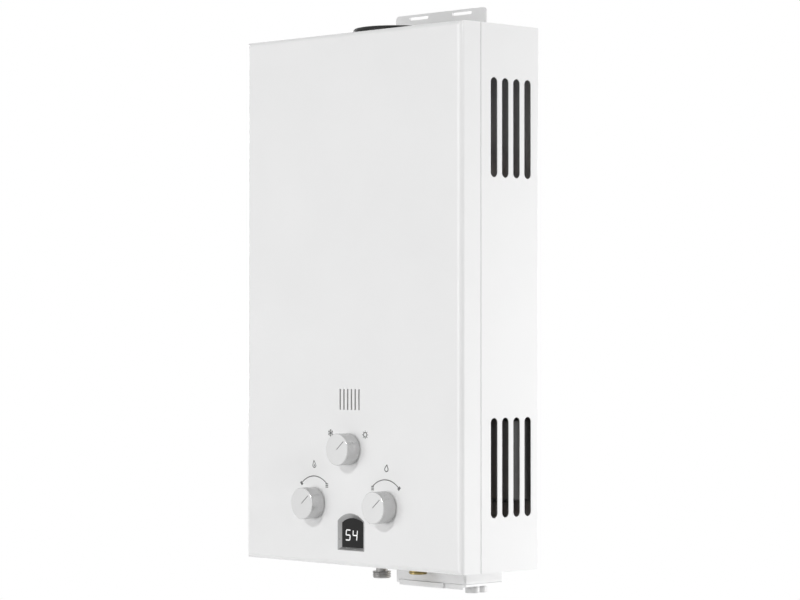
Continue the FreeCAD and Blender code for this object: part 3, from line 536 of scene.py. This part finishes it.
sun_centre = on_cover(across=0.025, up=0.1454)
sun_radius = 0.0026
sun_line = 0.0012
ray_from = 0.0041
ray_length = 0.0010
ray_line = 0.0009
sun = bmesh.new()
curved_stroke(sun, sun_radius, sun_line, 0, 360, sun_centre)
for turn in range(0, 360, 45):
    stroke(sun, ray_length, ray_line, turn, sun_centre + spoke(turn, ray_from))
printed("mark_sun", sun)


drop_taper = 0.3
inner_shorter = 2.6
inner_lean = 0.6


def drop_edge(shape, radius, height, lean, foot):
    """The outline of a drop that stands on its foot: a circle drawn up to a point."""
    ring = bmesh.ops.create_circle(shape, segments=40, radius=radius)["verts"]
    upright = Matrix.Rotation(math.radians(90), 3, "X")
    bmesh.ops.rotate(shape, verts=ring, cent=(0, 0, 0), matrix=upright)
    for vert in ring:
        rise = min(1.0, max(0.0, vert.co.z / radius))
        vert.co.x = vert.co.x * (1 - rise) ** drop_taper + lean * rise ** 2
        vert.co.z = vert.co.z + (height - 2 * radius) * rise ** 2
    bmesh.ops.translate(shape, verts=ring, vec=foot + Vector((0, 0, radius)))
    return [edge for edge in shape.edges if edge.verts[0] in ring]


def drop_outline(shape, radius, height, lean, line, foot):
    """A drop printed as a line, a little thicker at its point."""
    outer = drop_edge(shape, radius, height, lean, foot)
    inner_height = height - inner_shorter * line
    inner_foot = foot + Vector((0, 0, line))
    inner = drop_edge(shape, radius - line, inner_height, lean * inner_lean, inner_foot)
    bmesh.ops.bridge_loops(shape, edges=outer + inner)


drop = bmesh.new()
drop_foot = on_cover(across=0.0584, up=0.1056)
drop_outline(drop, radius=0.0033, height=0.0086, lean=0.0008, line=0.0012, foot=drop_foot)
printed("mark_drop", drop)

flame = bmesh.new()
flame_foot = on_cover(across=-0.0571, up=0.1062)
drop_outline(flame, radius=0.0031, height=0.0090, lean=-0.0008, line=0.0011, foot=flame_foot)
core_foot = flame_foot + Vector((0, 0, 0.0018))
core_edge = drop_edge(flame, radius=0.0009, height=0.0030, lean=0.0003, foot=core_foot)
bmesh.ops.contextual_create(flame, geom=core_edge)
printed("mark_flame", flame)

arc_radius = 0.0298
arc_line = 0.0011
arc_half = 43
block_beyond = 2
block_length = 0.0044
block_width = 0.0030
rung_width = 0.0042
rung_line = 0.0011
rung_step = Vector((0, 0, 0.0018))
for role, side in (("gas", -1), ("water", 1)):
    arc = bmesh.new()
    knob_low, knob_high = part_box("knob_" + role)
    arc_centre = (knob_low + knob_high) / 2
    arc_centre.y = cover_low.y
    curved_stroke(arc, arc_radius, arc_line, -arc_half, 2 * arc_half, arc_centre)
    turn = side * (arc_half + block_beyond)
    stroke(arc, block_length, block_width, turn, arc_centre + spoke(turn, arc_radius))
    top_rung = arc_centre + spoke(-side * arc_half, arc_radius)
    for count in range(3):
        stroke(arc, rung_line, rung_width, 0, top_rung - count * rung_step)
    printed("arc_" + role, arc)


# Display: a thin bezel in satin silver let into the cover, a black pane behind it
# and two lit digits, made up of straight segments that lean a little.
silver = finish("satin_silver", tone(170), roughness=0.3, metallic=0.85)
shades(silver, noise(silver, grains=30), tone(166), tone(174))
gloss(silver, noise(silver, grains=400), low=0.24, high=0.36)
dress(silver, "display_bezel")
pane = finish("black_pane", tone(30), roughness=0.14, specular=0.2)
shades(pane, noise(pane, grains=40), tone(27), tone(33))
dress(pane, "display_lens")
dress(black_moulding, "display_module")

lit = finish("lit_segment", tone(235), roughness=0.4)
shades(lit, noise(lit, grains=300), tone(225), tone(240))
shader_of(lit).inputs["Emission Color"].default_value = (*tone(236, -1), 1)
shader_of(lit).inputs["Emission Strength"].default_value = 0.35

digit_height = 0.0124
digit_width = 0.0078
digit_bar = 0.0013
digit_gap = 0.0003
digit_slant = 0.1
digit_thickness = 0.00008
digit_base = cover_low.z + 0.0276
digit_left = {"5": -0.0100, "4": 0.0010}
digit_segments = {"5": "afgcd", "4": "fgbc"}
bar_reach = digit_width - digit_bar
bar_rise = (digit_height - digit_bar) / 2
segments = {
    "a": (0, bar_rise, 90),
    "b": (bar_reach / 2, bar_rise / 2, 0),
    "c": (bar_reach / 2, -bar_rise / 2, 0),
    "d": (0, -bar_rise, 90),
    "f": (-bar_reach / 2, bar_rise / 2, 0),
    "g": (0, 0, 90),
}
pane_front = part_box("display_lens")[0].y
for name, left in digit_left.items():
    digit = bmesh.new()
    digit_middle = Vector((left + digit_width / 2, pane_front, digit_base + digit_height / 2))
    for key in digit_segments[name]:
        across, up, turn = segments[key]
        length = (bar_reach if turn else bar_rise) - digit_gap
        stroke(digit, length, digit_bar, turn, digit_middle + Vector((across, 0, up)))
    for vert in digit.verts:
        vert.co.x += (vert.co.z - digit_base) * digit_slant
    thicken(digit, digit_thickness)
    finished("digit_" + name, digit, lit, "heater")


# Knobs: turned aluminium with a polished barrel and a satin face, each on a brass
# spindle that turns in a brass gland. A dark line in the face points to the
# setting. The barrel is painted darker than the face, a painted shade.
def tool_lines(material, distance):
    """The lines that the lathe's tool leaves along a distance."""
    track = material.node_tree.nodes.new("ShaderNodeCombineXYZ")
    material.node_tree.links.new(distance, track.inputs["X"])
    return noise(material, grains=2500, where=track.outputs["Vector"])


def knob_metal(name, centre, face):
    """Aluminium turned about a centre, smoother behind the depth of its face and painted darker
    there as painted shade.
    """
    material = finish(name, tone(224), roughness=0.28, metallic=0.95)
    tree = material.node_tree
    shader = shader_of(material)
    radius = tree.nodes.new("ShaderNodeVectorMath")
    radius.operation = "LENGTH"
    tree.links.new(place(material, (1, 0, 1), centre), radius.inputs[0])
    depth = tree.nodes.new("ShaderNodeSeparateXYZ")
    tree.links.new(place(material, centre=centre), depth.inputs["Vector"])
    shades(material, tool_lines(material, radius.outputs["Value"]), tone(200), tone(212))
    edge = {"start": face - centre.y + 0.0001, "end": face - centre.y + 0.0003}
    # Painted shade: behind the depth of the face, the barrel's colour is painted darker.
    painted_barrel_shade = tree.nodes.new("ShaderNodeVectorMath")
    painted_barrel_shade.operation = "SCALE"
    tree.links.new(shader.inputs["Base Color"].links[0].from_socket, painted_barrel_shade.inputs[0])
    tree.links.new(spread(tree, depth.outputs["Y"], 1.0, 0.88, **edge), painted_barrel_shade.inputs["Scale"])
    tree.links.new(painted_barrel_shade.outputs["Vector"], shader.inputs["Base Color"])
    tree.links.new(spread(tree, depth.outputs["Y"], 0.28, 0.16, **edge), shader.inputs["Roughness"])
    relief(material, tool_lines(material, depth.outputs["Y"]), depth=0.0003, strength=0.7)
    return material


pointer_turn = 50
pointer_length = 0.0142
pointer_line = 0.0008
pointer_groove = 0.0004
pointer_fill = 0.9
for role in ("season", "gas", "water"):
    knob_low, knob_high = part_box("knob_" + role)
    knob_centre = (knob_low + knob_high) / 2
    dress(knob_metal("knob_metal_" + role, knob_centre, knob_low.y), "knob_" + role)
    dress(yellow_brass, "spindle_" + role, "gland_" + role)
    groove = Vector((knob_centre.x, knob_low.y + pointer_groove, knob_centre.z))
    pointer_middle = groove + spoke(pointer_turn, pointer_length / 2)
    pointer = bmesh.new()
    stroke(pointer, pointer_length, pointer_line, pointer_turn, pointer_middle)
    thicken(pointer, pointer_groove * pointer_fill)
    finished("pointer_" + role, pointer, ink, role + "_knob")


# Studio: a pale floor below, a white surround, soft lamps in front, above, at both
# sides and behind to the right, and the camera at the object's right.
def looked_at(tree):
    """One where the camera looks, straight or by way of metal or glass, and none elsewhere."""
    rays = tree.nodes.new("ShaderNodeLightPath")
    seen = rays.outputs["Is Camera Ray"]
    for kind in ("Is Glossy Ray", "Is Transmission Ray"):
        seen = maths(tree, "MAXIMUM", seen, rays.outputs[kind])
    return seen


floor_drop = 1.3
floor_size = 6.0
floor_glow = 0.22
floor_shape = bmesh.new()
bmesh.ops.create_grid(floor_shape, x_segments=1, y_segments=1, size=floor_size / 2)
bmesh.ops.translate(floor_shape, verts=floor_shape.verts, vec=(0, 0, cad_low.z - floor_drop))
floor_mesh = bpy.data.meshes.new("floor")
floor_shape.to_mesh(floor_mesh)
floor_shape.free()
floor = bpy.data.objects.new("floor", floor_mesh)
bpy.context.scene.collection.objects.link(floor)
floor_paint = finish("floor_paint", tone(250), roughness=0.9)
floor_mesh.materials.append(floor_paint)
floor_tree = floor_paint.node_tree
floor_light = spread(floor_tree, looked_at(floor_tree), 0.0, floor_glow)
floor_tree.links.new(floor_light, shader_of(floor_paint).inputs["Emission Strength"])
shader_of(floor_paint).inputs["Emission Color"].default_value = (1, 1, 1, 1)

surround_fill = 0.24
surround_white = 1.0
surround = bpy.data.worlds.new("surround")
surround.use_nodes = True
bpy.context.scene.world = surround
sky = surround.node_tree
sky.nodes.clear()
backdrop = sky.nodes.new("ShaderNodeBackground")
backdrop.inputs["Color"].default_value = (1, 1, 1, 1)
sky_light = spread(sky, looked_at(sky), surround_fill, surround_white)
sky.links.new(sky_light, backdrop.inputs["Strength"])
output = sky.nodes.new("ShaderNodeOutputWorld")
sky.links.new(backdrop.outputs["Background"], output.inputs["Surface"])


def softbox(name, bearing, rise, distance, width, height, watts):
    """A soft lamp, by its bearing from the front towards +X and its angle above the middle."""
    light = bpy.data.lights.new(name, "AREA")
    light.shape = "RECTANGLE"
    light.size = width
    light.size_y = height
    light.energy = watts
    lamp = bpy.data.objects.new(name, light)
    bpy.context.scene.collection.objects.link(lamp)
    turn = math.radians(bearing)
    lift = math.radians(rise)
    flat = math.cos(lift)
    outwards = Vector((flat * math.sin(turn), -flat * math.cos(turn), math.sin(lift)))
    lamp.location = (cad_low + cad_high) / 2 + distance * outwards
    lamp.rotation_euler = (-outwards).to_track_quat("-Z", "Y").to_euler()


softbox("key", bearing=8, rise=24, distance=5.0, width=0.4, height=0.4, watts=69)
softbox("front", bearing=-20, rise=-2, distance=3.0, width=1.3, height=1.8, watts=23.5)
softbox("barrels", bearing=82, rise=14, distance=4.0, width=0.4, height=0.4, watts=36)
softbox("side", bearing=151, rise=-8, distance=3.4, width=1.0, height=1.8, watts=66)
softbox("left", bearing=-112, rise=8, distance=3.4, width=1.0, height=1.4, watts=40)

camera_place = (2.2398, -2.2665, -0.3595)
camera_tilt = 90.632
camera_turn = 45.512
camera_lens = 125.72
camera_sensor = 36
camera = bpy.data.objects.new("camera", bpy.data.cameras.new("camera"))
bpy.context.scene.collection.objects.link(camera)
camera.location = camera_place
camera.rotation_euler = (math.radians(camera_tilt), 0, math.radians(camera_turn))
camera.data.lens = camera_lens
camera.data.sensor_width = camera_sensor
bpy.context.scene.camera = camera
bpy.context.scene.view_settings.view_transform = "Standard"
